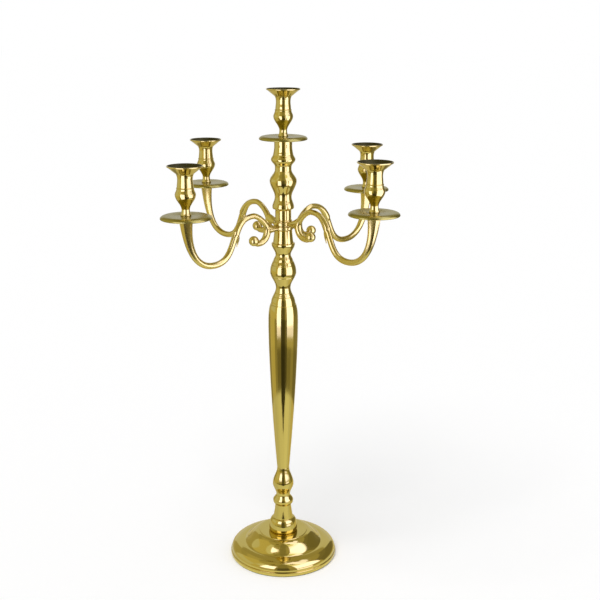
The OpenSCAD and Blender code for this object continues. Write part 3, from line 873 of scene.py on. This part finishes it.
class MakeCups(bpy.types.Operator):
    """Spin the five candle cups and their drip pans, and set each on its seat"""

    bl_idname = "candelabra.cups"
    bl_label = "Cups and pans"

    def execute(self, context):
        sizes = context.scene.candelabra_cup
        kinds = ("pan", self.pan, spun_brass), ("cup", self.cup, turned_brass)
        for seat, body in SEATS.items():
            for kind, make, finish in kinds:
                node = seat + "_" + kind
                bm = make(sizes, node)
                bmesh.ops.recalc_face_normals(bm, faces=bm.faces[:])
                if kind == "cup":
                    self.mark_inside(bm, sizes.stud_depth)
                bmesh.ops.translate(bm, vec=centre_of(node), verts=bm.verts[:])
                piece = finish_piece(bm, "turned_" + node, body, [node], finish)
                # A cup's second material paints the shade inside its socket
                if kind == "cup":
                    piece.data.materials.append(painted_cup_shade())
        return {"FINISHED"}

    def mark_inside(self, bm, floor):
        """Gives the faces that look at the axis, over the stud's hole, the second material: the
        painted shade of the socket.
        """
        for face in bm.faces:
            middle = face.calc_center_median()
            face.material_index = int(face.normal.xy.dot(middle.xy) < 0 and middle.z > floor)

    def pan(self, sizes, node):
        low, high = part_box(node)
        outline = pan_outline(sizes, (high.x - low.x) / 2, high.z - low.z)
        lift = high.z - low.z - sizes.pan_plate
        return spin_solid([(r, z + lift) for r, z in outline], sizes.stud_hole)

    def cup(self, sizes, node):
        low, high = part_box(node)
        bm = spin_loop(cup_loop(sizes, (high.x - low.x) / 2, high.z - low.z), closed=False)
        round_edges(bm, RIM_ROUNDING)
        return bm


FASTENINGS = ("foot_washer", "foot_nut", "tie_rod", "top_stud", "lower_studs", "upper_studs")


class FinishFastenings(bpy.types.Operator):
    """Give the hidden fastenings their zinc and the foot's underside its felt"""

    bl_idname = "candelabra.fastenings"
    bl_label = "Fastenings and felt"

    def execute(self, context):
        for node in FASTENINGS:
            self.cover(node, zinc_steel())
        self.cover("foot_felt", green_felt())
        return {"FINISHED"}

    def cover(self, node, material):
        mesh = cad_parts[node].data
        mesh.materials.clear()
        mesh.materials.append(material)


# ---- Studio ----
# The surround that the brass mirrors: bands from the floor up to the middle of the ceiling, as
# radius and height in metres, and strips from one direction to another, in degrees to the right of
# the camera, with the light of each band
BANDS = (
    (0.1, 0.002), (0.66, 0.002), (1.1, 0.002), (2.1, 0.002), (2.1, 0.35), (2.1, 1.5), (1.9, 2.0),
    (1.3, 2.5), (0.0, 2.8),
)
SURROUND = (
    ("lens_card", -13, 13, (0.84, 0.05, 0.08, 0.14, 0.13, 0.24, 0.32, 0.3)),
    ("left_gap", -18, -13, (0.84, 0.06, 0.1, 0.3, 0.34, 0.34, 0.36, 0.3)),
    ("left_screen", -49, -18, (0.82, 0.2, 0.25, 0.5, 0.68, 0.55, 0.5, 0.4)),
    ("left_edge", -70, -49, (0.76, 0.34, 0.36, 0.65, 0.68, 0.72, 0.8, 0.5)),
    ("left_wall", -120, -70, (0.7, 0.62, 0.66, 0.68, 0.71, 0.69, 0.68, 0.5)),
    ("left_back", -150, -120, (0.66, 0.31, 0.3, 0.55, 0.5, 0.45, 0.55, 0.42)),
    ("right_gap", 13, 29, (0.88, 0.1, 0.2, 0.42, 0.4, 0.5, 0.45, 0.35)),
    ("right_screen", 29, 64, (0.9, 0.26, 0.36, 1.8, 1.8, 1.8, 1.8, 1.15)),
    ("right_wall", 64, 92, (0.76, 0.36, 0.45, 0.6, 0.5, 1.3, 1.8, 1.8)),
    ("right_back", 92, 150, (0.69, 0.22, 0.3, 0.25, 0.22, 0.25, 0.45, 1.6)),
    ("back_wall", 150, 210, (0.69, 0.65, 0.6, 0.71, 0.7, 0.42, 0.42, 0.42)),
)
# The two soft boxes close to the candelabra, brightest above their lower edges
BOX_BANDS = ((0.6, 0.18), (0.6, 0.22), (0.6, 0.27), (0.6, 0.88))
SOFT_BOXES = (
    ("left_box", -49, -18, (0.4, 1.3, 2.4)),
    ("right_box", 29, 84, (0.55, 1.3, 2.4)),
)
# The camera's own dark reflection narrows towards the stem: half widths in degrees, from and to
LENS_SHADE = ((6, 0.42, 0.5), (12, 0.5, 0.57), (18, 0.57, 0.68))
SHADE_LEVEL, SHADE_Z = 0.06, 0.004
WORLD_LIGHT, SUN_STRENGTH, FLOOR_RADIUS = 0.55, 1.65, 30.0
# Dim cards are warm and bright ones cool against the brass
WARM_BELOW, COOL_ABOVE = 0.7, 1.2
WARM_TINT, COOL_TINT = (1.0, 0.9, 0.55), (1.0, 0.99, 2.2)


class MakeStudio(bpy.types.Operator):
    """Set the floor, the soft boxes and cards that the brass mirrors, the lamp and the camera"""

    bl_idname = "candelabra.studio"
    bl_label = "Studio"

    def execute(self, context):
        studio = context.scene.candelabra_studio
        self.world(context)
        self.floor(studio)
        self.lamp(studio)
        for bands, strips in ((BANDS, SURROUND), (BOX_BANDS, SOFT_BOXES)):
            for name, start, stop, levels in strips:
                for index, level in enumerate(levels):
                    self.card(studio, f"{name}_{index}", start, stop, bands[index:index + 2], level)
        for index, (half, near, far) in enumerate(LENS_SHADE):
            ends = ((near, SHADE_Z), (far, SHADE_Z))
            self.card(studio, f"lens_shade_{index}", -half, half, ends, SHADE_LEVEL)
        self.camera(context, studio)
        return {"FINISHED"}

    def world(self, context):
        """White behind the camera's view and in reflections, soft grey as light."""
        world = context.scene.world or bpy.data.worlds.new("studio")
        context.scene.world = world
        tree = Tree(world)
        camera, glossy, through = (
            tree.node("ShaderNodeLightPath", {}, out=f"Is {ray} Ray")
            for ray in ("Camera", "Glossy", "Transmission")
        )
        shown = (camera + glossy + through).clamp()
        light, white = (
            tree.node("ShaderNodeBackground", {}, Color=rgba((1, 1, 1)), Strength=level)
            for level in (WORLD_LIGHT, 1.0)
        )
        mixed = tree.node("ShaderNodeMixShader", {}, shown, light, white)
        tree.node("ShaderNodeOutputWorld", {}, mixed)

    def floor(self, studio):
        """A plain pale floor."""
        bm = bmesh.new()
        bmesh.ops.create_circle(bm, cap_ends=True, segments=96, radius=FLOOR_RADIUS)
        material, tree = material_named("pale_floor")
        if tree:
            grey = studio.floor_grey
            shader = tree.node("ShaderNodeBsdfDiffuse", {}, Color=rgba((grey, grey, grey)))
            tree.node("ShaderNodeOutputMaterial", {}, shader)
        self.stand(bm, "floor", material)

    def card(self, studio, name, start, stop, ends, level):
        """One card: an edge spun round the stem, lit evenly and seen only in the brass."""
        bm = bmesh.new()
        first = studio.azimuth + radians(start)
        verts = [bm.verts.new((r * sin(first), -r * cos(first), z)) for r, z in ends]
        edge = bm.edges.new(verts)
        bmesh.ops.spin(
            bm, geom=[*verts, edge], axis=(0, 0, 1), cent=(0, 0, 0),
            angle=radians(stop - start), steps=16,
        )
        bmesh.ops.remove_doubles(bm, verts=bm.verts[:], dist=WELD)
        material, tree = material_named(f"glow_{level}")
        if tree:
            tint = (1, 1, 1)
            if level < WARM_BELOW:
                tint = WARM_TINT
            elif level > COOL_ABOVE:
                tint = COOL_TINT
            shader = tree.node("ShaderNodeEmission", {}, Color=rgba(tint), Strength=level)
            tree.node("ShaderNodeOutputMaterial", {}, shader)
        card = self.stand(bm, name, material)
        for ray in ("camera", "diffuse", "shadow", "transmission"):
            setattr(card, "visible_" + ray, False)

    def stand(self, bm, name, material):
        mesh = bpy.data.meshes.new(name)
        bm.to_mesh(mesh)
        bm.free()
        mesh.materials.append(material)
        made = bpy.data.objects.new(name, mesh)
        bpy.context.scene.collection.objects.link(made)
        return made

    def lamp(self, studio):
        """A broad sun over the camera's shoulder; the brass mirrors the cards instead of it."""
        sun = bpy.data.lights.new("key", "SUN")
        sun.energy, sun.angle = SUN_STRENGTH, radians(40)
        lamp = bpy.data.objects.new("key", sun)
        lamp.rotation_euler = (radians(28), 0, studio.azimuth - radians(35))
        lamp.visible_glossy = False
        bpy.context.scene.collection.objects.link(lamp)

    def camera(self, context, studio):
        data = bpy.data.cameras.new("camera")
        data.lens, data.sensor_width, data.clip_end = studio.lens, 36, 100
        data.shift_x = studio.aside
        camera = bpy.data.objects.new("camera", data)
        a = studio.azimuth
        camera.location = (studio.distance * sin(a), -studio.distance * cos(a), studio.height)
        camera.rotation_euler = (pi / 2 - studio.pitch, 0, a)
        context.scene.collection.objects.link(camera)
        context.scene.camera = camera


class CandelabraPanel(bpy.types.Panel):
    """The candelabra's pieces and studio"""

    bl_idname = "VIEW3D_PT_candelabra"
    bl_label = "Brass candelabra"
    bl_space_type = "VIEW_3D"
    bl_region_type = "UI"
    bl_category = "Candelabra"

    def draw(self, context):
        for group in GROUPS:
            box = self.layout.box()
            settings = getattr(context.scene, group)
            for name in settings.__annotations__:
                box.prop(settings, name)
        for operator in OPERATORS:
            self.layout.operator(operator.bl_idname)


GROUPS = {
    "candelabra_foot": FootSizes,
    "candelabra_stem": StemSizes,
    "candelabra_arm": ArmSizes,
    "candelabra_cup": CupSizes,
    "candelabra_finishes": Finishes,
    "candelabra_studio": Studio,
}
OPERATORS = (MakeFoot, MakeStem, MakeArms, MakeCups, FinishFastenings, MakeStudio)


def register():
    for cls in (*GROUPS.values(), *OPERATORS, CandelabraPanel):
        bpy.utils.register_class(cls)
    for name, cls in GROUPS.items():
        setattr(bpy.types.Scene, name, bpy.props.PointerProperty(type=cls))


def unregister():
    for name in GROUPS:
        delattr(bpy.types.Scene, name)
    for cls in reversed((*GROUPS.values(), *OPERATORS, CandelabraPanel)):
        bpy.utils.unregister_class(cls)


def main():
    register()
    bpy.context.scene.view_settings.view_transform = "Standard"
    for operator in OPERATORS:
        prefix, name = operator.bl_idname.split(".")
        getattr(getattr(bpy.ops, prefix), name)()


if __name__ == "__main__":
    main()
